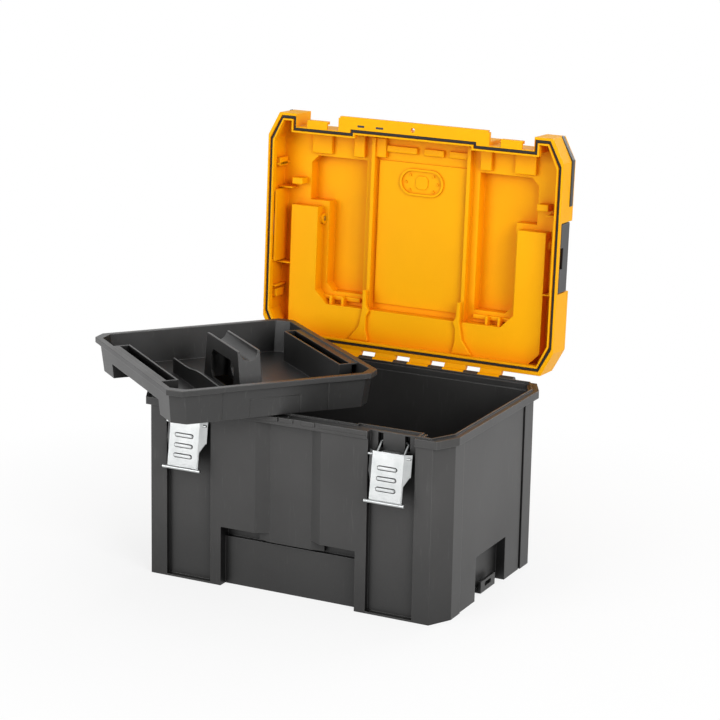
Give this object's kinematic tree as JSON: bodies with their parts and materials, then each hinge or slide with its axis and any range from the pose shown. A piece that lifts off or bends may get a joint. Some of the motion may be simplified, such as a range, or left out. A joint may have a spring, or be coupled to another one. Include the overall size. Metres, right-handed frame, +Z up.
{
  "type": "tool case",
  "caption": "Deep stackable tool case with a hinged lid, folding carry handle, wire draw latches, side stacking clips and a loose tote tray on its rim.",
  "frame": {"origin": "middle of the tub's footprint, on the floor it stands on", "axes": "+X to the right along the front, +Y to the rear where the hinge is, +Z up"},
  "size_m": [0.5398, 0.5055, 0.5524],
  "materials": {
    "tub_plastic": "fine grained black-grey moulding",
    "tray_plastic": "fine grained black-grey moulding",
    "lid_plastic": "fine grained yellow moulding",
    "black_plastic": "smooth black moulding",
    "seal_rubber": "matt black rubber",
    "steel": "drawn steel rod",
    "zinc": "bright zinc plated steel"
  },
  "bodies": {
    "case": {"tub": "tub_plastic", "hinge_pin_left": "steel", "hinge_pin_right": "steel"},
    "lid": {"lid": "lid_plastic", "lid_seal": "seal_rubber", "lid_corner_strip_left": "black_plastic", "lid_corner_strip_right": "black_plastic", "handle_pin_left": "steel", "handle_pin_right": "steel", "side_latch_pin_left": "steel", "side_latch_pin_right": "steel"},
    "handle": {"handle": "black_plastic", "handle_grip": "seal_rubber"},
    "side_latch_left": {"side_latch_left": "black_plastic"},
    "side_latch_right": {"side_latch_right": "black_plastic"},
    "latch_link_left": {"latch_link_left": "zinc"},
    "latch_link_right": {"latch_link_right": "zinc"},
    "latch_lever_left": {"latch_lever_left": "zinc"},
    "latch_lever_right": {"latch_lever_right": "zinc"},
    "tray": {"tray": "tray_plastic"}
  },
  "joints": [
    {"name": "lid_hinge", "type": "hinge", "parent": "case", "child": "lid", "pos_m": [0, 0.166, 0.229], "axis": [-1, 0, 0], "range_deg": [-92.7, 0]},
    {"name": "handle_fold", "type": "hinge", "parent": "lid", "child": "handle", "pos_m": [0, 0.21614, 0.40483], "axis": [1, 0, 0], "range_deg": [0, 95]},
    {"name": "side_latch_left_flip", "type": "hinge", "parent": "lid", "child": "side_latch_left", "pos_m": [-0.21, 0.21308, 0.39296], "axis": [0, -0.0471, -0.9989], "range_deg": [0, 170]},
    {"name": "side_latch_right_flip", "type": "hinge", "parent": "lid", "child": "side_latch_right", "pos_m": [0.21, 0.21308, 0.39296], "axis": [0, 0.0471, 0.9989], "range_deg": [0, 170]},
    {"name": "latch_link_left_swing", "type": "hinge", "parent": "case", "child": "latch_link_left", "pos_m": [-0.14125, -0.1395, 0.222], "axis": [1, 0, 0], "range_deg": [-62, 0]},
    {"name": "latch_link_right_swing", "type": "hinge", "parent": "case", "child": "latch_link_right", "pos_m": [0.14125, -0.1395, 0.222], "axis": [1, 0, 0], "range_deg": [-92, 0]},
    {"name": "latch_lever_left_swing", "type": "hinge", "parent": "latch_link_left", "child": "latch_lever_left", "pos_m": [-0.14125, -0.15635, 0.20786], "axis": [1, 0, 0], "range_deg": [0, 67.5]},
    {"name": "latch_lever_right_swing", "type": "hinge", "parent": "latch_link_right", "child": "latch_lever_right", "pos_m": [0.14125, -0.15635, 0.20786], "axis": [1, 0, 0], "range_deg": [0, 100.1]},
    {"name": "tray_lift_away", "type": "slide", "parent": "case", "child": "tray", "axis": [-0.6361, -0.7716, 0], "range_m": [0, 0.301]}
  ],
  "couplings": [
    {"joint": "tray_lift_away", "follows": "lid_hinge", "m_per_rad": -0.18543},
    {"joint": "latch_lever_left_swing", "follows": "latch_link_left_swing", "ratio": -1.087},
    {"joint": "latch_lever_right_swing", "follows": "latch_link_right_swing", "ratio": -1.087}
  ]
}
